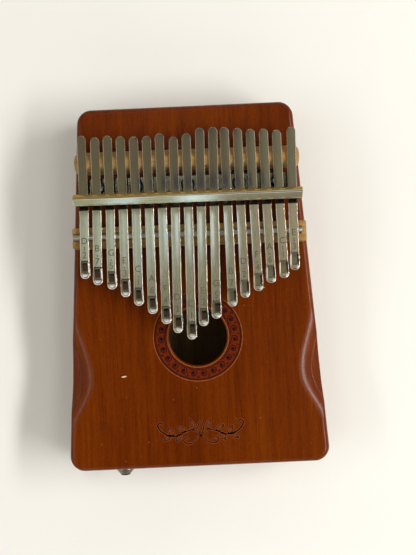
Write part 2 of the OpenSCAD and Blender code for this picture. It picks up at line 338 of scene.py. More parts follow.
def mix(tree, fac, a, b, blend="MIX"):
    """Mixes two colours. Each of fac, a and b is a value or another node's socket."""
    made = node(tree, "ShaderNodeMix", data_type="RGBA", blend_type=blend)
    for socket, value in ((made.inputs[0], fac), (made.inputs[6], a), (made.inputs[7], b)):
        if isinstance(value, bpy.types.NodeSocket):
            tree.links.new(value, socket)
        elif isinstance(value, (int, float)):
            socket.default_value = value
        else:
            socket.default_value = (*value, 1)
    return made.outputs[2]


def maths(tree, operation, a, b=0.0, c=0.0):
    made = node(tree, "ShaderNodeMath", operation=operation)
    for socket, value in zip(made.inputs, (a, b, c)):
        if isinstance(value, bpy.types.NodeSocket):
            tree.links.new(value, socket)
        else:
            socket.default_value = value
    return made.outputs[0]


def smooth_step(tree, value, low, high):
    """0 below low, 1 above high, smooth between. low may be the larger one."""
    made = node(tree, "ShaderNodeMapRange", interpolation_type="SMOOTHSTEP")
    tree.links.new(value, made.inputs["Value"])
    made.inputs["From Min"].default_value = low
    made.inputs["From Max"].default_value = high
    return made.outputs["Result"]


def bump(tree, bsdf, height, strength, distance):
    made = node(tree, "ShaderNodeBump", {"Height": height, "Strength": strength, "Distance": distance})
    tree.links.new(made.outputs["Normal"], bsdf.inputs["Normal"])


def roughen(tree, bsdf, value, rough, low=0.0, high=1.0):
    """Roughness that follows value: rough[0] where it is low, rough[1] where it is high."""
    made = node(tree, "ShaderNodeMapRange", {"Value": value, "From Min": low, "From Max": high,
                                             "To Min": rough[0], "To Max": rough[1]})
    tree.links.new(made.outputs["Result"], bsdf.inputs["Roughness"])


def wood(name, dark, mid, light, pore, along="Y", band=170, rough=(0.34, 0.5), gloss=0.3, depth=0.00012,
         pores=0.55, specks=False):
    """Straight-grained wood: broad bands, fine fibres and short dark pores, all drawn out along the grain.

    specks adds scattered dust under the varnish.
    """
    mat, tree, bsdf = new_material(name)
    grain = mapping(tree, drawn_out(along, 0.035))
    slow = mapping(tree, drawn_out(along, 0.12))
    bands = noise(tree, slow, band * 0.16, 3, 0.6, 0.5)
    streaks = noise(tree, grain, band * 2.6, 5, 0.7, 0.3)
    fibres = noise(tree, grain, band * 9, 3, 0.6, 0.1)
    mottle = noise(tree, mapping(tree, (1, 0.7, 1)), band * 9, 2, 0.6)
    tone = maths(tree, "MULTIPLY_ADD", bands, 0.5, maths(tree, "MULTIPLY", streaks, 0.5))
    base = ramp(tree, tone, [(0.34, dark), (0.5, mid), (0.66, light)])
    fine = ramp(tree, fibres, [(0.3, (0.7, 0.7, 0.7)), (0.7, (1.1, 1.1, 1.1))])
    colour = mix(tree, 0.5, base, fine, "MULTIPLY")
    soft = ramp(tree, mottle, [(0.3, (0.78, 0.78, 0.78)), (0.7, (1.16, 1.16, 1.16))])
    colour = mix(tree, 0.6, colour, soft, "MULTIPLY")
    pore_map = mapping(tree, drawn_out(along, 0.06), location=(3.1, 7.7, 1.3))
    pore_noise = noise(tree, pore_map, band * 16, 2, 0.5)
    pore_mask = ramp(tree, pore_noise, [(0.62, (0, 0, 0)), (0.72, (1, 1, 1))])
    colour = mix(tree, maths(tree, "MULTIPLY", pore_mask, pores), colour, pore)
    if specks:
        dust = node(tree, "ShaderNodeTexVoronoi", {"Vector": mapping(tree, (1, 0.7, 1)), "Scale": 330.0})
        spots = ramp(tree, dust.outputs["Distance"], [(0.06, (1, 1, 1)), (0.13, (0, 0, 0))])
        chosen = smooth_step(tree, noise(tree, mapping(tree), 120, 1), 0.58, 0.66)
        mask = maths(tree, "MULTIPLY", maths(tree, "MULTIPLY", spots, chosen), 0.3)
        colour = mix(tree, mask, colour, (0.5, 0.2, 0.1))
    tree.links.new(colour, bsdf.inputs["Base Color"])
    roughen(tree, bsdf, streaks, rough)
    bsdf.inputs["Specular IOR Level"].default_value = gloss
    height = maths(tree, "SUBTRACT", fibres, maths(tree, "MULTIPLY", pore_mask, 0.6))
    bump(tree, bsdf, height, strength=0.35, distance=depth)
    return mat


def metal(name, base, rough, brush=(1, 1, 1), scale=2600, tints=(), spots=0.0, strength=0.06):
    """Metal with fine brush lines and slight stains. tints are (mask maker, colour)."""
    mat, tree, bsdf = new_material(name)
    bsdf.inputs["Metallic"].default_value = 1.0
    lines = noise(tree, mapping(tree, brush), scale, 4, 0.6)
    cloud = noise(tree, mapping(tree, (1, 0.4, 1)), 160, 4, 0.6)
    stain = maths(tree, "MULTIPLY_ADD", lines, 0.6, maths(tree, "MULTIPLY", cloud, 0.4))
    colour = ramp(tree, stain, [(0.35, shade(base, 0.84)), (0.6, base)])
    for mask, tint in tints:
        colour = mix(tree, mask(tree), colour, tint)
    if spots:
        pits = noise(tree, mapping(tree), 900, 3, 0.7)
        dots = ramp(tree, pits, [(0.62, (0, 0, 0)), (0.7, (1, 1, 1))])
        colour = mix(tree, maths(tree, "MULTIPLY", dots, spots), colour, shade(base, 0.35))
    tree.links.new(colour, bsdf.inputs["Base Color"])
    roughen(tree, bsdf, lines, rough, 0.3, 0.7)
    bump(tree, bsdf, lines, strength, distance=0.00002)
    return mat


def shade(colour, factor):
    return tuple(min(c * factor, 1) for c in colour)


def plain(name, base, rough, mottling=0.25, scale=900, metallic=0.0, gloss=0.5):
    """Moulded, painted or burnt surface with a faint mottling."""
    mat, tree, bsdf = new_material(name)
    cloud = noise(tree, mapping(tree), scale, 4, 0.6)
    stops = [(0.35, shade(base, 1 - mottling)), (0.65, shade(base, 1 + mottling))]
    tree.links.new(ramp(tree, cloud, stops), bsdf.inputs["Base Color"])
    roughen(tree, bsdf, cloud, (rough - 0.08, rough + 0.08))
    bsdf.inputs["Metallic"].default_value = metallic
    bsdf.inputs["Specular IOR Level"].default_value = gloss
    bump(tree, bsdf, cloud, strength=0.3, distance=0.00004)
    return mat


def position(tree):
    """The X, Y and Z of a point of the object."""
    coords = node(tree, "ShaderNodeTexCoord")
    return node(tree, "ShaderNodeSeparateXYZ", {"Vector": coords.outputs["Object"]}).outputs


def near_bar(tree):
    """1 on a narrow band of the tines just in front of the bar, where a painted shadow of the bar darkens them.
    """
    spot = position(tree)
    along = maths(tree, "MULTIPLY_ADD", spot["X"], -math.sin(SKEW), spot["Y"])
    start = smooth_step(tree, along, (BAR_FRONT - 2.3) * MM, (BAR_FRONT - 2.0) * MM)
    end = smooth_step(tree, along, (PRESS_Y + 1.5) * MM, (PRESS_Y + 1) * MM)
    return maths(tree, "MULTIPLY", start, end)


def rim(tree):
    """1 along a tine's outline, where a painted highlight brightens its edges, 0 away from it."""
    return node(tree, "ShaderNodeAttribute", attribute_name="rim").outputs["Fac"]


def behind_ridge(tree):
    """1 on the rear facet of the bar, 0 on its front facet; the golden tint it carries there is a painted
    reflection.
    """
    return maths(tree, "GREATER_THAN", position(tree)["Y"], (RIDGE_Y + 0.25) * MM)


MAHOGANY = wood("mahogany", (0.085, 0.012, 0.0004), (0.13, 0.021, 0.0005), (0.17, 0.033, 0.0008),
                (0.04, 0.005, 0.0003), specks=True, rough=(0.16, 0.24), gloss=0.14, depth=0.00004)
INNER = wood("bare_inner_wood", (0.07, 0.036, 0.013), (0.105, 0.056, 0.02), (0.14, 0.08, 0.032),
             (0.03, 0.02, 0.01), rough=(0.6, 0.8), gloss=0.15)
HARDWOOD = wood("bare_hardwood", (0.3, 0.18, 0.09), (0.4, 0.26, 0.14), (0.5, 0.34, 0.2),
                (0.15, 0.08, 0.04), along="X", rough=(0.6, 0.8))
MAPLE = wood("maple", (0.24, 0.125, 0.035), (0.35, 0.2, 0.065), (0.47, 0.29, 0.11),
             (0.11, 0.05, 0.015), along="X", band=210, rough=(0.4, 0.58), pores=0.6, gloss=0.15)
ALONG_X = (0.02, 1, 1)
ALONG_Y = (1, 0.02, 1)
# The tines' tints are a painted highlight along their edges and a painted shadow of the bar just in front of
# it.
TINE_STEEL = metal("tine_steel", (0.6, 0.58, 0.51), rough=(0.06, 0.13), brush=ALONG_Y,
                   tints=[(rim, (0.75, 0.73, 0.66)), (near_bar, (0.03, 0.025, 0.02))])
# The golden tint on the bar's rear facet is a painted reflection.
PLATED = metal("plated_steel", (0.62, 0.61, 0.54), rough=(0.06, 0.12), brush=ALONG_X, scale=1800,
               tints=[(behind_ridge, (0.36, 0.24, 0.075))], spots=0.2)
# A much darker copy of the plated steel for the flange and the slotted wall: painted shade for the dim space
# under the tines between the rail and the bar.
SHADED_FLANGE_STEEL = metal("plated_sheet_painted_shade", (0.19, 0.175, 0.135), rough=(0.12, 0.18), brush=ALONG_X, scale=1800,
               spots=0.5, strength=0.03)
ROD_STEEL = metal("rod_steel", (0.34, 0.31, 0.26), rough=(0.24, 0.34), brush=ALONG_X, spots=0.4)
SCREW_STEEL = metal("screw_steel", (0.1, 0.15, 0.18), rough=(0.14, 0.25), scale=700)
NICKEL = metal("jack_plating", (0.17, 0.15, 0.12), rough=(0.12, 0.22), scale=900, spots=0.3)
BRASS = metal("lug_brass", (0.72, 0.52, 0.22), rough=(0.25, 0.4), scale=900)
CERAMIC = plain("piezo_white", (0.8, 0.79, 0.74), 0.35)
BLACK_PLASTIC = plain("black_plastic", (0.03, 0.03, 0.03), 0.45)
RUBBER = plain("lead_jacket", (0.035, 0.035, 0.035), 0.6)
CLIP = plain("clip_plastic", (0.75, 0.75, 0.7), 0.5)
BURNT = plain("burnt_line", (0.018, 0.004, 0.005), 0.75, 0.5, 2500, gloss=0.04)
SCORCHED = plain("scorched_band", (0.115, 0.014, 0.0008), 0.6, 0.4, 2200, gloss=0.05)
RUBBED = plain("rubbed_rim", (0.26, 0.065, 0.012), 0.6, 0.5, 2500, gloss=0.1)
ETCHED = plain("etched_mark", (0.1, 0.09, 0.06), 0.6, 0.3, 4000, metallic=0.5, gloss=0.2)
CHIPPED = plain("chipped_wood", (0.75, 0.6, 0.42), 0.8, 0.2, 3000)


# ---- Body ----

# Rounding of the top edge and of the foot, depth of the seams between the plates and the walls, and how many
# points the corners and the sides have.
EDGE_R = 2.8
FOOT_R = 1.5
SEAM = 0.14
CORNER_STEPS = 12
SIDE_STEPS = 210


def side_x(y):
    """Half the body's width at y, without its scoops."""
    return HALF_MID_W - y * math.tan(TAPER)


def bay(y):
    """Depth of the side scoops at y, on the top face."""
    run = SCOOP_HEAD_RUN if y > SCOOP_Y else SCOOP_TAIL_RUN
    t = (y - SCOOP_Y) / run
    return 0.0 if abs(t) >= 1 else SCOOP_DEPTH * math.cos(math.pi / 2 * t) ** 2


def corner_point(centre, angle):
    c, s = math.cos(math.radians(angle)), math.sin(math.radians(angle))
    return (centre[0] + CORNER_R * c, centre[1] + CORNER_R * s, c, s)


def outline_columns():
    """Points round the body, anticlockwise from the right end of the tail edge: x, y, normal x, normal y."""
    end_y = BODY_LEN / 2 - CORNER_R
    tail = (side_x(-end_y) - CORNER_R / math.cos(TAPER), -end_y)
    head = (side_x(end_y) - CORNER_R / math.cos(TAPER), end_y)
    taper = math.degrees(TAPER)
    turns = [k / CORNER_STEPS for k in range(CORNER_STEPS + 1)]
    right = [corner_point(tail, -90 + (90 + taper) * t) for t in turns]
    y0 = right[-1][1]
    y1 = corner_point(head, taper)[1]
    end = BODY_LEN / 2 - END_T
    ys = {-end, end} | {y0 + (y1 - y0) * k / SIDE_STEPS for k in range(1, SIDE_STEPS)}
    nx, ny = math.cos(TAPER), math.sin(TAPER)
    right += [(side_x(y), y, nx, ny) for y in sorted(ys) if y0 < y < y1]
    right += [corner_point(head, taper + (90 - taper) * t) for t in turns]
    return right + [(-x, y, -a, b) for x, y, a, b in reversed(right)]


def soft_positive(v, width=0.22):
    """max(v, 0) with a soft corner, so that the scoop's edge is eased."""
    if v > width:
        return v
    if v < -width:
        return 0.0
    return (v + width) ** 2 / (4 * width)


def shell_point(column, z, seam=0.0):
    """The body's outer surface at a column of the outline and a height."""
    x, y, nx, ny = column
    inward = seam
    if z > BODY_H - EDGE_R:
        inward += EDGE_R - math.sqrt(max(EDGE_R ** 2 - (z - BODY_H + EDGE_R) ** 2, 0))
    if z < FOOT_R:
        inward += FOOT_R - math.sqrt(max(FOOT_R ** 2 - (FOOT_R - z) ** 2, 0))
    depth = bay(y)
    cut = soft_positive(depth - (BODY_H - z) * SCOOP_TAN) if depth > 0 else 0.0
    cut *= min(depth / 0.6, 1)
    return (x - nx * inward - math.copysign(cut, x), y - ny * inward, z)


def heights(z0, z1):
    """Heights of the shell's rings between two seams, close together where the surface curves."""
    step = 0.4
    coarse = 8
    straight_below = 18
    zs = {z0, z1, z0 + SEAM, z1 - SEAM}
    z = z0 + step
    while z < z1 - step / 2:
        curved = z > straight_below or z < FOOT_R + step / 2
        if curved or round((z - z0) / step) % coarse == 0:
            zs.add(z)
        z += step
    if z1 >= BODY_H:
        zs.discard(z1 - SEAM)
        turns = (5, 15, 25, 35, 45, 55, 62, 68, 74, 80, 86)
        zs |= {BODY_H - EDGE_R * (1 - math.sin(math.radians(a))) for a in turns}
    if z0 <= 0:
        zs.discard(SEAM)
        zs |= {FOOT_R * (1 - math.cos(math.radians(a))) for a in (0, 6, 15, 30, 45, 60, 75)}
    return sorted(zs)


def ring_at(columns, z, z0, z1):
    """The shell at a height, drawn in a little where it meets the next piece at z0 or z1."""
    at_seam = (z == z0 and z0 > 0) or (z == z1 and z1 < BODY_H)
    return [shell_point(c, z, SEAM if at_seam else 0.0) for c in columns]


def inset(ring, amount=0.25):
    """A ring moved inwards in its plane."""
    n = len(ring)
    out = []
    for k in range(n):
        a, b = Vector(ring[k - 1]), Vector(ring[(k + 1) % n])
        d = (b - a).normalized()
        out.append((ring[k][0] - d.y * amount, ring[k][1] + d.x * amount, ring[k][2]))
    return out


def tailmost(loop):
    """Index of the point of a loop nearest to straight towards the tail from the sound hole."""
    def off(k):
        x, y = loop[k][1][:2]
        return abs(math.atan2(y - HOLE_Y, x - HOLE_X) + math.pi / 2)

    return min(range(len(loop)), key=off)


def bridge_rings(outer, inner):
    """Triangles between an outer loop and an inner loop, both anticlockwise, given as (index, point)."""
    faces = []
    i0, j0 = tailmost(outer), tailmost(inner)
    i = j = 0
    n, m = len(outer), len(inner)
    while i < n or j < m:
        a, b = outer[(i0 + i) % n], inner[(j0 + j) % m]
        a2, b2 = outer[(i0 + i + 1) % n], inner[(j0 + j + 1) % m]
        if j >= m or (i < n and turn_to(a2[1], i + 1 >= n) <= turn_to(b2[1], j + 1 >= m)):
            faces.append((a[0], a2[0], b[0]))
            i += 1
        else:
            faces.append((a[0], b2[0], b[0]))
            j += 1
    return faces


def turn_to(point, wrapped):
    """How far round from straight towards the tail a point lies, anticlockwise, in radians."""
    t = math.atan2(point[1] - HOLE_Y, point[0] - HOLE_X) + math.pi / 2
    t %= 2 * math.pi
    return t + 2 * math.pi if wrapped and t < math.pi else t


def make_soundboard(columns):
    """The top plate: rounded edge, sound hole with an eased rim, flat underside."""
    rings = [ring_at(columns, z, UNDER_TOP, BODY_H) for z in heights(UNDER_TOP, BODY_H)]
    rings.append(inset(rings[-1]))
    verts, faces = skin(rings, True, False, False)
    n = len(columns)
    steps = 128
    ease_r = 0.7
    hole = [(HOLE_R + ease_r + 0.2, BODY_H)]
    for a in (0, 18, 36, 54, 72, 90):
        c, s = math.cos(math.radians(a)), math.sin(math.radians(a))
        hole.append((HOLE_R + ease_r - ease_r * s, BODY_H - ease_r + ease_r * c))
    hole.append((HOLE_R, UNDER_TOP))
    start = len(verts)
    hole_rings = [[(x, y, z) for x, y in circle(HOLE_X, HOLE_Y, r, steps)] for r, z in hole]
    hole_verts, hole_faces = skin(hole_rings, True, False, False)
    verts += hole_verts
    faces += [tuple(start + k for k in f) for f in hole_faces]
    top_outer = [(len(rings) * n - n + k, rings[-1][k]) for k in range(n)]
    top_inner = [(start + k, hole_verts[k]) for k in range(steps)]
    faces += bridge_rings(top_outer, top_inner)
    low_outer = [(k, rings[0][k]) for k in range(n)]
    low = (len(hole) - 1) * steps
    low_inner = [(start + low + k, hole_verts[low + k]) for k in range(steps)]
    faces += [tuple(reversed(f)) for f in bridge_rings(low_outer, low_inner)]
    board = make_mesh("soundboard_plate", verts, faces, MAHOGANY, sharp=40)
    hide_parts("soundboard")


def make_back(columns):
    """The back panel, with its lower edge eased. Its inner face is bare wood."""
    rings = [ring_at(columns, z, 0, PLATE_T) for z in heights(0, PLATE_T)]
    rings = [inset(rings[0])] + rings + [inset(rings[-1])]
    verts, faces = skin(rings)
    slots = [0] * len(faces)
    slots[-1] = 1
    panel = make_mesh("back_plate", verts, faces, [MAHOGANY, INNER], sharp=40, slots=slots)
    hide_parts("back_panel")


def make_wall(name, columns, inner, node_name):
    """One length of the rim: its outer face follows the shell and its inner face is flat and bare."""
    rings = []
    for z in heights(PLATE_T, UNDER_TOP):
        rings.append(ring_at(columns, z, PLATE_T, UNDER_TOP) + [(x, y, z) for x, y in inner])
    verts, faces = skin(rings)
    n = len(rings[0])
    outside = len(columns) - 1
    slots = [1 if k % n >= outside else 0 for k in range(len(faces) - 2)] + [1, 1]
    wall = make_mesh(name, verts, faces, [MAHOGANY, INNER], sharp=40, slots=slots)
    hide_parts(node_name)


def make_body():
    columns = outline_columns()
    make_soundboard(columns)
    make_back(columns)
    tiny = 1e-6
    end = BODY_LEN / 2 - END_T
    sides = [c for c in columns if abs(c[1]) <= end + tiny]
    right = [c for c in sides if c[0] > 0]
    left = [c for c in sides if c[0] < 0]
    head = [c for c in columns if c[1] >= end - tiny]
    tail = [c for c in columns if c[1] <= -end + tiny]
    tail = [c for c in tail if c[0] < 0] + [c for c in tail if c[0] > 0]
    lo, hi = side_x(-end) - SIDE_T, side_x(end) - SIDE_T
    make_wall("right_wall", right, [(hi, end), (lo, -end)], "right_side")
    make_wall("left_wall", left, [(-lo, -end), (-hi, end)], "left_side")
    make_wall("head_end", head, [], "head_block")
    make_wall("tail_end", tail, [], "tail_block")


# ---- Burnt ornament on the soundboard ----

# Top and thickness of the burnt lines, which stand a hair above the soundboard.
BURNT_Z = BODY_H + 0.03
SKIN_T = 0.05


def ring_band(r, width, z):
    """A thin ring round the sound hole."""
    steps = 160
    low = z - SKIN_T
    corners = ((r - width / 2, z), (r + width / 2, z), (r + width / 2, low), (r - width / 2, low))
    circles = [[(x, y, h) for x, y in circle(HOLE_X, HOLE_Y, radius, steps)] for radius, h in corners]
    rings = [list(ring) for ring in zip(*circles)]
    verts, faces = skin(rings, True, False, False)
    last = (steps - 1) * 4
    for j in range(4):
        faces.append((last + j, last + (j + 1) % 4, (j + 1) % 4, j))
    return verts, faces


def dot(centre, r):
    top = circle(centre[0], centre[1], r, 12)
    return skin([[(x, y, z) for x, y in top] for z in (BURNT_Z - SKIN_T, BURNT_Z)])


def bent(path, angle, r_mid):
    """Bends a path drawn in the plane (along, outwards) onto the ring at an angle."""
    out = []
    for u, v in path:
        a = angle + u / r_mid
        out.append((HOLE_X + (r_mid + v) * math.cos(a), HOLE_Y + (r_mid + v) * math.sin(a)))
    return out


def scroll_path():
    """One wave of the running scroll: a rising stem that curls in on itself."""
    stem_steps = 8
    curl_steps = 24
    path = []
    for k in range(stem_steps + 1):
        t = k / stem_steps
        path.append((-3.9 + 2.4 * t, -2.2 + 0.4 * t * t))
    for k in range(1, curl_steps + 1):
        a = math.radians(228 + 430 * k / curl_steps)
        r = 1.95 - 1.3 * k / curl_steps
        path.append((r * math.cos(a), r * math.sin(a)))
    return path


def make_rosette():
    """Burnt ring of running scrolls between thin lines, on a reddish scorched band."""
    r_mid = 18.9
    count = 23
    first_turn = math.radians(-91.5)
    band = Parts()
    band.add(*ring_band(r_mid, 5.9, BODY_H + 0.008))
    rims = Parts()
    for r, width in ((15.75, 0.5), (22.75, 0.45)):
        rims.add(*ring_band(r, width, BODY_H + 0.014))
    burnt = Parts()
    for r, width in ((16.35, 0.3), (21.75, 0.3), (22.3, 0.42)):
        burnt.add(*ring_band(r, width, BURNT_Z))
    scroll = scroll_path()
    widths = [0.3 + 0.34 * (j / (len(scroll) - 1)) for j in range(len(scroll))]
    for k in range(count):
        angle = first_turn + 2 * math.pi * (k + 0.5) / count
        burnt.add(*ribbon(bent(scroll, angle, r_mid), widths, BURNT_Z))
        for u, v, r in ((0, 0, 0.72), (2.45, 1.5, 0.4), (2.1, 2.3, 0.26), (-2.2, 2.2, 0.22)):
            burnt.add(*dot(bent([(u, v)], angle, r_mid)[0], r))
    for part, name, mat in ((band, "rosette_band", SCORCHED), (rims, "rosette_rims", RUBBED),
                            (burnt, "rosette_lines", BURNT)):
        obj = part.build(name, mat, smooth=False)


def curve_points(points, steps=10):
    """A smooth path through points."""
    out = []
    n = len(points)
    for k in range(n - 1):
        p0, p1 = Vector(points[max(k - 1, 0)]), Vector(points[k])
        p2, p3 = Vector(points[k + 1]), Vector(points[min(k + 2, n - 1)])
        for j in range(steps):
            t = j / steps
            q = 0.5 * (2 * p1 + (p2 - p0) * t + (2 * p0 - 5 * p1 + 4 * p2 - p3) * t * t
                       + (3 * p1 - p0 - 3 * p2 + p3) * t ** 3)
            out.append((q.x, q.y))
    out.append(tuple(points[-1]))
    return out


def tapered(path, thick, thin):
    """A width for each point of a path, thin at its ends and thick in its middle."""
    n = len(path) - 1
    return [thin + (thick - thin) * math.sin(math.pi * k / n) ** 0.7 for k in range(n + 1)]


def leaf(x, y, angle, length):
    """A leaf's outline and its midrib."""
    c, s = math.cos(math.radians(angle)), math.sin(math.radians(angle))
    half = 0.24 * length
    edge = [(0, 0), (0.3 * length, half), (0.65 * length, half * 0.8), (length, 0),
            (0.65 * length, -half * 0.7), (0.3 * length, -half), (0, 0)]
    rib = [(0.1 * length, 0), (0.45 * length, 0.03 * length), (0.8 * length, 0)]

    def placed(path):
        return [(x + u * c - v * s, y + u * s + v * c) for u, v in path]

    return curve_points(placed(edge), 6), curve_points(placed(rib), 5)


def make_flourish():
    """Symmetrical burnt sprig near the tail. Its strokes are drawn for the right half, from its middle."""
    mid_x, mid_y = 1.0, -75.0
    stem = curve_points([(0.6, -0.4), (4.2, 1.6), (9, 0.3), (13.2, -1.3), (17.4, -0.4), (20.7, 2.0),
                         (21.9, 4.6), (20.3, 5.8), (19.1, 4.4), (20.0, 3.5)])
    curl = curve_points([(1.2, -1.2), (3.4, -4.4), (6.8, -5.5), (9.0, -3.8), (7.7, -2.3), (6.3, -3.3)])
    strokes = [(stem, 0.85), (curl, 0.7)]
    for x, y, angle, length in ((3.6, 1.6, 75, 5.2), (7.8, 0.7, 35, 4.9), (10.2, -0.2, -60, 4.6),
                                (14.0, -1.2, 62, 4.9), (15.6, -1.0, -35, 4.4)):
        strokes += zip(leaf(x, y, angle, length), (0.5, 0.34))
    strokes.append((curve_points([(0, -0.6), (1.4, 1.8), (1.0, 4.6), (0, 6.6)]), 0.6))
    lines = Parts()
    rims = Parts()
    for path, width in strokes:
        for sign in (1, -1):
            placed = [(mid_x + sign * x, mid_y + y) for x, y in path]
            lines.add(*ribbon(placed, tapered(placed, width, 0.3), BURNT_Z))
            rims.add(*ribbon(placed, tapered(placed, width + 0.4, 0.6), BODY_H + 0.012, 0.04))
    lines.add(*dot((mid_x, mid_y - 1.4), 0.75))
    for part, name, mat in ((rims, "flourish_rims", RUBBED), (lines, "flourish_lines", BURNT)):
        obj = part.build(name, mat, smooth=False)


def make_chip():
    """Small chip in the varnish that shows pale wood."""
    chip = Parts()
    path = [(-38.3, -45.0), (-37.6, -44.75), (-36.9, -44.85), (-36.2, -44.55), (-35.6, -44.6)]
    chip.add(*ribbon(path, [0.15, 0.6, 0.75, 0.5, 0.1], BODY_H + 0.015))
    obj = chip.build("varnish_chip", CHIPPED, smooth=False)


# ---- Bridge hardware ----

def make_rail():
    """Half-round rear rail with rounded ends."""
    r = RAIL_W / 2
    straight = SADDLE_H - r
    profile = [(r, 0.0), (r, straight)] + arc(0, straight, r, 8, 172, 20) + [(-r, straight), (-r, 0.0)]
    end_round = 3.2
    half = RAIL_LEN / 2
    steps = 7
    turns = [math.pi / 2 * k / steps for k in range(steps + 1)]
    left = [(end_round * (1 - math.cos(a)) - half, math.sin(a)) for a in turns]
    left.append((end_round + 1 - half, 1.0))
    stations = [(x, 0.55 + 0.45 * s) for x, s in left]
    stations += [(-x, s) for x, s in reversed(stations)]
    rings = []
    for x, s in stations:
        rings.append([(x, RAIL_Y + y * s, BODY_H + z * (0.5 + 0.5 * s)) for y, z in profile])
    rail = Parts()
    rail.add(*skin(rings))
    rail.turn()
    obj = rail.build("rear_rail_round", MAPLE, sharp=50)
    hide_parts("rear_rail")


def make_bridge():
    """Front bridge: rounded strip with a groove for the rod that stops short of its right end."""
    low = BRIDGE_Y - BRIDGE_W / 2
    high = BRIDGE_Y + BRIDGE_W / 2
    top = BRIDGE_H
    groove = 2.0
    deep = top - (SADDLE_H - ROD_D)
    shallow = 0.03
    half = BRIDGE_LEN / 2
    groove_end = half - 2.6

    def profile(depth):
        y0, y1 = SADDLE_Y - groove, SADDLE_Y + groove
        corners = [(low, 0), (high, 0), (high, top), (y1, top), (y1, top - depth), (y0, top - depth),
                   (y0, top), (low, top)]
        return round_profile(corners, [0, 0, 1.9, 0.25, 0.1, 0.1, 0.25, 1.9], 4)

    # Place along the bridge, depth of the groove and size of the section there.
    stations = [(-half, deep, 0.9), (-half + 0.35, deep, 0.965), (-half + 1.2, deep, 1), (-half + 2, deep, 1),
                (groove_end - 2.2, deep, 1), (groove_end - 1.6, deep, 1), (groove_end - 0.7, deep * 0.9, 1),
                (groove_end, shallow, 1), (half - 1.2, shallow, 1), (half - 0.35, shallow, 0.965),
                (half, shallow, 0.9)]
    rings = []
    for x, depth, s in stations:
        section = [(BRIDGE_Y + (y - BRIDGE_Y) * s, BODY_H + z * (0.4 + 0.6 * s)) for y, z in profile(depth)]
        rings.append([(x, y, z) for y, z in section])
    bridge = Parts()
    bridge.add(*skin(rings))
    bridge.turn()
    obj = bridge.build("front_bridge_grooved", MAPLE, sharp=40)
    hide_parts("front_bridge")


def make_rod():
    """Saddle rod with eased ends. It starts at the bridge's left end and stops short of its right one."""
    r = ROD_D / 2
    half = (BRIDGE_LEN - 2.4) / 2
    axis_z = BODY_H + SADDLE_H - r
    profile = [(r - 0.5, -half), (r - 0.15, -half + 0.15), (r, -half + 0.5), (r, half - 1.4),
               (r - 0.2, half - 0.6), (r - 0.7, half - 0.1), (r - 1.1, half)]
    rod = Parts()
    rod.add(*turned(profile, lambda a, b, h: (h - 0.6, SADDLE_Y + b, axis_z - a), 24))
    rod.turn()
    obj = rod.build("saddle_rod_round", ROD_STEEL, sharp=50)
    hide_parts("saddle_rod")


def make_bracket():
    """Folded steel bracket: flange, slotted wall and roof-shaped bar, with its folds rounded."""
    bracket = Parts()

    def add(corners, radii, steps, x0, x1, edge, slot):
        profile = round_profile(corners, radii, steps)
        bracket.add(*extrude_x([(y, z + BODY_H) for y, z in profile], x0, x1, edge), slot=slot)

    roof = [(RIDGE_Y, RIDGE_Z), (RIDGE_Y - LEG_RUN, RIDGE_Z - LEG_RUN), (PRESS_Y, PRESS_Z),
            (RIDGE_Y, RIDGE_Z - 2 * SHEET_RUN),
            (RIDGE_Y + REAR_RUN - SHEET_RUN, RIDGE_Z - REAR_RUN - SHEET_RUN),
            (RIDGE_Y + REAR_RUN, RIDGE_Z - REAR_RUN)]
    add(roof, [0.7, 0.4, 0.3, 0.2, 0.3, 0.4], 5, -RIDGE_LEN / 2, RIDGE_LEN / 2, 0.25, 0)
    half = FLANGE_LEN / 2
    y0, y1 = RIDGE_Y - SHEET, RIDGE_Y
    flange = [(y0, 0.01), (FLANGE_END, 0.01), (FLANGE_END, SHEET), (y0, SHEET)]
    add(flange, [0.1, 0.3, 0.4, 0.1], 4, -half, half, 0.2, 1)
    window_w, window_low, top = 5.4, 4.9, RIDGE_Z - 1.5 * SHEET
    overlap = 0.1
    foot = SHEET - 2 * overlap
    lower = [(y0, foot), (y1, foot), (y1, window_low), (y0, window_low)]
    add(lower, [0.1] * 4, 3, -half, half, 0.1, 1)
    foot = window_low - overlap
    post = [(y0, foot), (y1, foot), (y1, top), (y0, top)]
    edges = [-half]
    for i in range(N_TINES):
        edges += [tine_x(i) - window_w / 2, tine_x(i) + window_w / 2]
    edges.append(half)
    for k in range(0, len(edges), 2):
        add(post, [0.1] * 4, 3, edges[k], edges[k + 1], 0.12, 1)
    bracket.turn()
    # The flange and the wall take the darker copy of the steel, a painted shade.
    obj = bracket.build("pressure_bracket", [PLATED, SHADED_FLANGE_STEEL], sharp=32)
    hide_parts("tine_bracket")


def cross_ring(x, spin, grow, z, steps):
    """A ring in the shape of a screw's cross recess, larger by grow."""
    arm, half_slot = 2.1 + grow, 0.42 + grow
    ring = []
    for k in range(steps):
        a = 2 * math.pi * k / steps - spin
        narrow = min(abs(math.cos(a)), abs(math.sin(a)))
        r = min(arm, max(half_slot / max(narrow, 0.0001), half_slot * 1.45))
        ring.append((x + r * math.cos(a + spin), SCREW_Y + r * math.sin(a + spin), z))
    return ring


def make_screws():
    """Pan-head screws with a cross recess, each turned differently."""
    screws = Parts()
    z0 = BODY_H + SHEET
    steps = 48
    head = [(1.5, -8.0), (1.5, 0.0), (3.5, 0.0), (3.6, 0.15), (3.6, 0.6), (3.45, 1.05), (3.1, 1.5),
            (2.7, 1.75)]
    recess = [(0.12, 1.92), (0.0, 1.8), (-0.08, 0.9)]
    for x, turn in zip(SCREW_X, (17, 52, 8, 71, 38)):
        rings = [[(a, b, z0 + h) for a, b in circle(x, SCREW_Y, r, steps)] for r, h in head]
        rings += [cross_ring(x, math.radians(turn), grow, z0 + h, steps) for grow, h in recess]
        screws.add(*skin(rings))
    screws.turn()
    obj = screws.build("bracket_screw_set", SCREW_STEEL, sharp=38)
    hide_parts("bracket_screws")


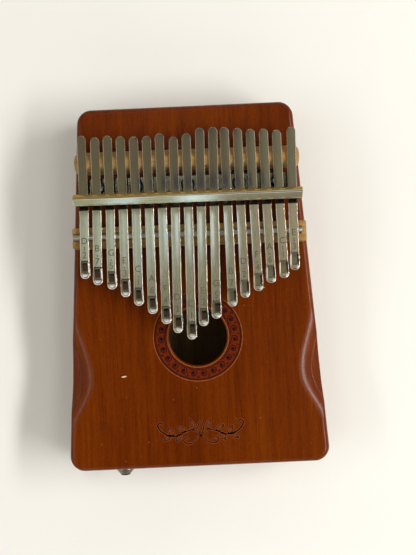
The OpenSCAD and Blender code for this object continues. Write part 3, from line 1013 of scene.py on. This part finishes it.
# ---- Tines ----

# Rounding of a tine's top edges in front of the ridge and behind it, easing of its lower edges, and its crown.
TINE_EDGE = 0.08
REAR_EDGE = 0.008
UNDER_EDGE = 0.12
CROWN = 0.03
# The tip's spoon: the width of its flat rim, how far it takes to get deep, and its depth.
SPOON_RIM = 0.2
SPOON_SLOPE_RUN = 0.8
SPOON_DEPTH = 0.1
# Width of the rim that carries the painted edge highlight, and the places across half a tine's top that carry
# points.
RIM_HIGHLIGHT_W = 0.45
ACROSS = [1, 0.985, 0.95, 0.9, 0.82, 0.7, 0.5, 0.25]


def speaking(i):
    """Length of a tine from the rod to its tip."""
    return LONGEST * 2 ** (-LENGTH_POWER * SEMITONES[i] / 12) + TRIM[i]


def tine_x(i):
    return (i - CENTRE_TINE) * PITCH


def hermite(t, a, b, p, q):
    """A smooth run from a to b that leaves with slope p and arrives with slope q."""
    return (a * (2 * t ** 3 - 3 * t * t + 1) + b * (3 * t * t - 2 * t ** 3)
            + p * (t ** 3 - 2 * t * t + t) + q * (t ** 3 - t * t))


def ease(t):
    """0 below 0, 1 above 1, smooth between."""
    t = min(max(t, 0.0), 1.0)
    return t * t * (3 - 2 * t)


# Slopes of the tip below the speaking length, at fractions of the tip's length from its knee.
TIP_SLOPES = [(0.0, 0.34), (0.62, 0.14), (0.8, -0.1), (1.0, -0.2)]


def tip_drop(s):
    """How far the tip has turned down at a distance from its knee: steep at first, then levelling out."""
    drop = 0.0
    for (a, start), (b, end) in zip(TIP_SLOPES, TIP_SLOPES[1:]):
        run = min(max(s / TIP_LEN - a, 0.0), b - a)
        here = start + (end - start) * run / (b - a)
        drop += TIP_LEN * run * (start + here) / 2
    return drop


def tine_under(y, tip_y):
    """Height of a tine's underside above the soundboard. It rests on the rail and the rod, under the bar."""
    low = PRESS_Z - TINE_T
    if y > RAIL_Y:
        return SADDLE_H + (y - RAIL_Y) * REAR_RISE
    if y > PRESS_Y:
        back = RAIL_Y - PRESS_Y
        return hermite((y - PRESS_Y) / back, low, SADDLE_H, 0, back * REAR_RISE)
    if y > SADDLE_Y:
        front = PRESS_Y - SADDLE_Y
        return hermite((y - SADDLE_Y) / front, SADDLE_H, low, -front * RISE, 0)
    return SADDLE_H + (SADDLE_Y - y) * RISE - tip_drop(tip_y + TIP_LEN - y)


def place_on_tine(i, x, y, z):
    """Turns a point by the tine's lean about the bar, and moves it to the tine."""
    c, s = math.cos(math.radians(LEAN[i])), math.sin(math.radians(LEAN[i]))
    dy = y - RIDGE_Y
    return askew(tine_x(i) + x * c - dy * s, RIDGE_Y + x * s + dy * c, BODY_H + z)


def round_end(r, along):
    """Half width of a round end of radius r at a distance from its far point."""
    return math.sqrt(max(r ** 2 - (r - along) ** 2, 0)) if along < r else math.inf


def tine_half_width(s, e):
    """Half width of a tine, with round ends and a flattened tip that is a little wider than the strip.

    s and e are the distances from its tip and from its rear end.
    """
    half = TINE_W / 2
    wide = TIP_W / 2
    if s < TIP_LEN:
        half += (wide - half) * ease((TIP_LEN - 0.6 - s) / 2.2)
    return max(min(half, round_end(wide, s), round_end(TINE_W / 2, e)), 0.05)


def tine_stations(tip_y, rear_y):
    """Places along a tine that carry a ring of points, close together where it is shaped."""
    tip_r, rear_r = TIP_W / 2, TINE_W / 2
    knee = tip_y + TIP_LEN
    ys = [tip_y + tip_r * (1 - math.cos(math.pi / 2 * k / 12)) for k in range(1, 13)]
    ys += [tip_y + tip_r + k * 0.4 for k in range(1, 15)]
    ys += [knee + d for d in (-0.5, -0.3, -0.12, 0, 0.12, 0.6)]
    y = knee + 2.5
    while y < rear_y - rear_r - 0.8:
        ys.append(y)
        y += 1.6
    ys += [rear_y - rear_r * (1 - math.cos(math.pi / 2 * k / 9)) for k in range(1, 10)]
    return sorted(set(round(v, 4) for v in ys))


def from_outline(x, half, s, e):
    """Distance of a point of a tine from its outline. s and e are its distances from the two ends."""
    d = half - abs(x)
    for along, r in ((s, TIP_W / 2), (e, TINE_W / 2)):
        if along < r:
            d = min(d, r - math.hypot(x, r - along))
    return max(d, 0.0)


def edge_fall(d, edge):
    """How far an edge rounded with radius edge lies below the top at a distance from the outline."""
    t = min(d / edge, 1.0)
    return edge * (1 - math.sqrt(1 - (1 - t) ** 2))


def tine_section(y, tip_y, rear_y):
    """A tine's section at y, as points of x and height, and how much each point is on the rim that carries the
    painted edge highlight.
    """
    s, e = y - tip_y, rear_y - y
    half = tine_half_width(s, e)
    under = tine_under(y, tip_y)
    spoon = ease((TIP_LEN - 0.3 - s) / 0.9)
    edge = TINE_EDGE if y < RIDGE_Y else REAR_EDGE
    side = under + UNDER_EDGE
    top = []
    top_highlights = []
    for f in [-f for f in ACROSS] + [0] + ACROSS[::-1]:
        d = from_outline(f * half, half, s, e)
        hollow = SPOON_DEPTH * spoon * ease((d - SPOON_RIM) / SPOON_SLOPE_RUN)
        crown = CROWN * (1 - f * f) * (1 - spoon)
        top.append((f * half, max(under + TINE_T - edge_fall(d, edge) + crown - hollow, side + 0.01)))
        top_highlights.append(ease(1.4 - 1.4 * d / RIM_HIGHLIGHT_W))
    left = [(-half * 0.8, under), (-half + UNDER_EDGE, under), (-half, side)]
    right = [(-x, z) for x, z in reversed(left)]
    return left + top + right, [1.0] * 3 + top_highlights + [1.0] * 3


def make_tine(i):
    """A strip with thin rounded edges and a faint crown, its tip pressed into a shallow spoon."""
    tip_y = SADDLE_Y - speaking(i)
    rear_y = RAIL_Y + REAR[i]
    rings = []
    rims = []
    for y in tine_stations(tip_y, rear_y):
        section, section_highlights = tine_section(y, tip_y, rear_y)
        rings.append([place_on_tine(i, x, y, z) for x, z in section])
        rims += section_highlights
    tine = Parts()
    tine.add(*skin(rings))
    name = "tine_%02d" % (i + 1)
    obj = tine.build(name + "_reed", TINE_STEEL, sharp=55, body=None)
    # The rim attribute masks the painted edge highlight of the tine steel.
    obj.data.attributes.new("rim", "FLOAT", "POINT").data.foreach_set("value", rims)
    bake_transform(obj)
    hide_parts(name)


# Note letter, number and octave dots on each tine, left to right.
MARKS = [("D", 2, 2), ("B", 7, 1), ("G", 5, 1), ("E", 3, 1), ("C", 1, 1), ("A", 6, 0), ("F", 4, 0), ("D", 2, 0),
         ("C", 1, 0), ("E", 3, 0), ("G", 5, 0), ("B", 7, 0), ("D", 2, 1), ("F", 4, 1), ("A", 6, 1), ("C", 1, 2),
         ("E", 3, 2)]


def glyph_mesh(text, size):
    """Flat outline of a character in millimetres, centred, as triangles."""
    curve = bpy.data.curves.new("glyph", "FONT")
    curve.body = text
    curve.size = size
    curve.align_x = "CENTER"
    curve.align_y = "CENTER"
    curve.resolution_u = 3
    obj = bpy.data.objects.new("glyph", curve)
    bpy.context.scene.collection.objects.link(obj)
    bpy.context.view_layer.update()
    mesh = bpy.data.meshes.new_from_object(obj.evaluated_get(bpy.context.evaluated_depsgraph_get()))
    verts = [(v.co.x, v.co.y) for v in mesh.vertices]
    faces = [tuple(p.vertices) for p in mesh.polygons]
    bpy.data.objects.remove(obj)
    bpy.data.curves.remove(curve)
    bpy.data.meshes.remove(mesh)
    mid_x = (min(v[0] for v in verts) + max(v[0] for v in verts)) / 2
    mid_y = (min(v[1] for v in verts) + max(v[1] for v in verts)) / 2
    return [(x - mid_x, y - mid_y) for x, y in verts], faces


def make_marks():
    """Each tine's note, etched from its knee towards the bar: number, octave dots, letter."""
    glyphs = {c: glyph_mesh(c, 5.0) for c in "ABCDEFG1234567"}
    size = 0.92
    dot_r = 0.38
    dot_pitch = 1.1
    for i, (letter, number, dots) in enumerate(MARKS):
        tip_y = SADDLE_Y - speaking(i)
        knee = tip_y + TIP_LEN
        marks = Parts()

        def put(x, y):
            lift = 0.045 - 0.035 * (x / 2) ** 2
            return place_on_tine(i, x, y, tine_under(y, tip_y) + TINE_T + lift)

        for text, centre in ((str(number), knee + 2.9), (letter, knee + 8.8 + 0.6 * dots)):
            verts, faces = glyphs[text]
            marks.add([put(x * size, centre + y * size) for x, y in verts], faces)
        for k in range(dots):
            ring = circle(0, knee + 5.6 + dot_pitch * k, dot_r, 10)
            marks.add([put(x, y) for x, y in ring], [tuple(range(10))])
        obj = marks.build("note_mark_%02d" % (i + 1), ETCHED, smooth=False, body="key_%02d" % (i + 1))


# ---- Jack, pickup and lead ----

# Profiles of the jack's washer and nut, as radius and distance out of the tail.
CLEAR_R = 2.7
WASHER = [(CLEAR_R, 0.02), (5.9, 0.02), (6.0, 0.12), (6.0, 0.5), (5.85, 0.6), (CLEAR_R, 0.6)]
NUT = [(CLEAR_R, 0.6), (5.0, 0.6), (5.2, 0.75), (5.2, 2.25), (5.05, 2.4), (4.95, 2.55), (3.05, 4.7),
       (2.9, 4.9), (CLEAR_R, 4.9)]
NUT_R = 5.2
GRIPS = 28
SLEEVE_R = 2.6
JACK_BORE_R = 1.8


def jack_place(a, b, h):
    """A point turned about the jack's axis, with h measured out of the tail."""
    return (JACK_X + a, TAIL_Y - h, JACK_Z + b)


def make_nut():
    """Cone nut with a knurled rim."""
    nut = Parts()
    nut.add(*turned(NUT, jack_place, 48, False))
    nut.add(*turned([NUT[-1], NUT[0]], jack_place, 48, False))
    for k in range(GRIPS):
        a = 2 * math.pi * k / GRIPS
        rings = []
        for h in (0.85, 2.15):
            rings.append([jack_place((NUT_R + dr) * math.cos(a + da), (NUT_R + dr) * math.sin(a + da), h)
                          for dr, da in ((-0.1, -0.05), (0.06, -0.02), (0.06, 0.02), (-0.1, 0.05))])
        nut.add(*skin(rings))
    obj = nut.build("jack_cone_nut", NICKEL, sharp=30)
    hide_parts("jack_dress_nut")


def make_washer():
    washer = Parts()
    washer.add(*turned(WASHER, jack_place, 48, False))
    obj = washer.build("jack_flat_washer", NICKEL, sharp=30)
    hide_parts("jack_washer")


def make_sleeve():
    """Threaded sleeve, whose bore takes the plug."""
    axis_r = 0.0001
    inner_end, bore_end = -19.0, -9.0
    profile = [(axis_r, inner_end), (SLEEVE_R, inner_end), (SLEEVE_R, 4.85)]
    for h in (4.98, 5.23):
        profile += [(SLEEVE_R - 0.15, h), (SLEEVE_R, h + 0.12)]
    profile += [(SLEEVE_R - 0.15, 5.6), (JACK_BORE_R + 0.15, 5.6), (JACK_BORE_R, 5.4),
                (JACK_BORE_R, bore_end), (axis_r, bore_end)]
    sleeve = Parts()
    sleeve.add(*turned(profile, jack_place, 40, False))
    obj = sleeve.build("jack_threaded_sleeve", NICKEL, sharp=30)
    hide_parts("jack_sleeve")


def finish_cad_nodes():
    """Pieces inside the body keep their CAD shapes, with materials of their own."""
    looks = {"bridge_block": HARDWOOD, "jack_lock_nut": BRASS, "jack_contact_block": BLACK_PLASTIC,
             "jack_lugs": BRASS, "piezo_disc": BRASS, "piezo_ceramic": CERAMIC, "pickup_lead": RUBBER,
             "lead_clips": CLIP}
    for name, mat in looks.items():
        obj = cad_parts[name]
        obj.data.materials.clear()
        obj.data.materials.append(mat)


# ---- Stage ----

def make_stage():
    """A plain pale floor, just below the body's foot."""
    mat, tree, bsdf = new_material("pale_floor")
    cloud = noise(tree, mapping(tree), 6, 3, 0.5)
    tones = [(0.3, (0.8, 0.8, 0.79)), (0.7, (0.84, 0.84, 0.83))]
    tree.links.new(ramp(tree, cloud, tones), bsdf.inputs["Base Color"])
    bsdf.inputs["Roughness"].default_value = 0.9
    size = 2500
    corners = [(x * size, y * size, -0.05) for x, y in ((-1, -1), (1, -1), (1, 1), (-1, 1))]
    floor = make_mesh("floor", corners, [(0, 1, 2, 3)], mat, body=None, smooth=False)


def area_light(name, at, size, power, colour):
    """A rectangular light in metres that looks at the middle of the object."""
    light = bpy.data.lights.new(name, "AREA")
    light.shape = "RECTANGLE"
    light.size, light.size_y = size
    light.energy = power
    light.color = colour
    obj = bpy.data.objects.new(name, light)
    bpy.context.scene.collection.objects.link(obj)
    obj.location = at
    obj.rotation_euler = (Vector((0, 0, 0.03)) - Vector(at)).to_track_quat("-Z", "Y").to_euler()


# Radiance of the walls, and the panels of the ceiling and of the wall beyond the tail. A panel has its
# directions from the object as slopes, ((left, right), (tail, head)) or ((left, right), (low, high)), the
# softness of its border and its radiance. A later panel lies over the earlier ones.
WALLS = (0.62, 0.63, 0.6)
CEILING = [
    (((-1.4, 1.4), (-1.2, 1.2)), 0.15, (0.2, 0.168, 0.105)),
    (((0.06, 0.4), (-0.3, 0.05)), 0.05, (0.27, 0.245, 0.165)),
    (((-0.7, 0.7), (0.15, 0.7)), 0.06, (0.39, 0.36, 0.25)),
    (((-0.7, -0.03), (0.21, 0.7)), 0.012, (0.52, 0.54, 0.42)),
    (((0.075, 0.25), (0.15, 0.7)), 0.03, (0.5, 0.42, 0.3)),
    (((-0.035, 0.005), (0.22, 0.3)), 0.01, (1.1, 1.3, 1.35)),
    (((-0.11, -0.08), (0.2, 0.3)), 0.015, (0.75, 0.88, 0.8)),
    (((-0.5, 0.5), (0.06, 0.135)), 0.012, (0.015, 0.015, 0.012)),
    (((-0.05, 0.03), (0.098, 0.125)), 0.01, (2.4, 2.3, 1.9)),
    (((-0.05, 0.05), (-0.03, 0.03)), 0.015, (0.07, 0.072, 0.09)),
    (((-0.3, 0.02), (-0.4, -0.1)), 0.01, (0.075, 0.045, 0.035)),
    (((-0.3, 0.02), (-0.6, -0.36)), 0.01, (0.012, 0.012, 0.01)),
    (((-0.2, 0.02), (0.36, 0.8)), 0.02, (1.3, 1.25, 1.35)),
    (((0.34, 0.6), (-0.6, 0.2)), 0.04, (2.2, 2.15, 2.0)),
    (((-0.6, -0.34), (-0.6, 0.0)), 0.04, (1.6, 1.6, 1.5)),
]
TAIL_WALL = [
    (((-0.4, 0.4), (-0.3, 0.5)), 0.05, (0.36, 0.32, 0.21)),
    (((-0.4, -0.04), (-0.3, 0.5)), 0.01, (0.5, 0.5, 0.3)),
    (((-0.118, -0.085), (-0.05, 0.3)), 0.008, (0.95, 1.15, 1.2)),
    (((-0.04, 0.004), (-0.05, 0.3)), 0.006, (0.95, 1.15, 1.1)),
    (((-0.03, -0.018), (-0.05, 0.3)), 0.005, (1.3, 1.6, 1.7)),
]


def patch(tree, u, v, u_range, v_range, soft):
    """1 inside a patch of the surroundings, given by its directions, with soft borders."""
    mask = 1.0
    for value, (low, high) in ((u, u_range), (v, v_range)):
        mask = maths(tree, "MULTIPLY", mask, smooth_step(tree, value, low - soft, low + soft))
        mask = maths(tree, "MULTIPLY", mask, smooth_step(tree, value, high + soft, high - soft))
    return mask


def make_world():
    """Soft studio surroundings: pale walls, a dim ceiling with panels, bright strips beyond the tail."""
    world = bpy.data.worlds.new("studio")
    world.use_nodes = True
    tree = world.node_tree
    coords = node(tree, "ShaderNodeTexCoord")
    parts = node(tree, "ShaderNodeSeparateXYZ", {"Vector": coords.outputs["Generated"]})
    up = maths(tree, "MAXIMUM", parts.outputs["Z"], 0.001)
    u = maths(tree, "DIVIDE", parts.outputs["X"], up)
    v = maths(tree, "DIVIDE", parts.outputs["Y"], up)
    back = maths(tree, "MAXIMUM", maths(tree, "MULTIPLY", parts.outputs["Y"], -1.0), 0.001)
    side = maths(tree, "DIVIDE", parts.outputs["X"], back)
    height = maths(tree, "DIVIDE", parts.outputs["Z"], back)
    colour = WALLS
    for across, along, panels in ((u, v, CEILING), (side, height, TAIL_WALL)):
        for ranges, soft, tone in panels:
            colour = mix(tree, patch(tree, across, along, *ranges, soft), colour, tone)
    tree.links.new(colour, tree.nodes["Background"].inputs["Color"])
    bpy.context.scene.world = world


def make_lights():
    """Long soft lights, strong on the right and weak on the left, and a faint wide one beyond the tail."""
    area_light("right", (1.02, -0.1, 1.0), (1.2, 0.18), 18, (1.0, 0.96, 0.9))
    area_light("left", (-1.02, -0.1, 1.0), (1.2, 0.18), 3.5, (1.0, 0.97, 0.93))
    area_light("fill", (0.1, -1.3, 0.75), (1.2, 0.6), 1.5, (1.0, 0.98, 0.95))


def make_camera():
    """Straight above the body, a little towards its right, and turned slightly."""
    camera = bpy.data.cameras.new("camera")
    above = 450.0
    view_height = 283.6
    sensor = 36
    camera.sensor_width = sensor
    camera.lens = sensor * above / view_height
    camera.clip_start = 0.01
    obj = bpy.data.objects.new("camera", camera)
    bpy.context.scene.collection.objects.link(obj)
    obj.location = (8.2 * MM, 4.0 * MM, (BODY_H + above) * MM)
    obj.rotation_euler = (0, 0, math.radians(-2.6))
    bpy.context.scene.camera = obj
    bpy.context.scene.view_settings.view_transform = "Standard"


make_body()
make_rosette()
make_flourish()
make_chip()
make_rail()
make_bridge()
make_rod()
make_bracket()
make_screws()
for index in range(N_TINES):
    make_tine(index)
make_marks()
make_nut()
make_washer()
make_sleeve()
finish_cad_nodes()
make_stage()
make_world()
make_lights()
make_camera()
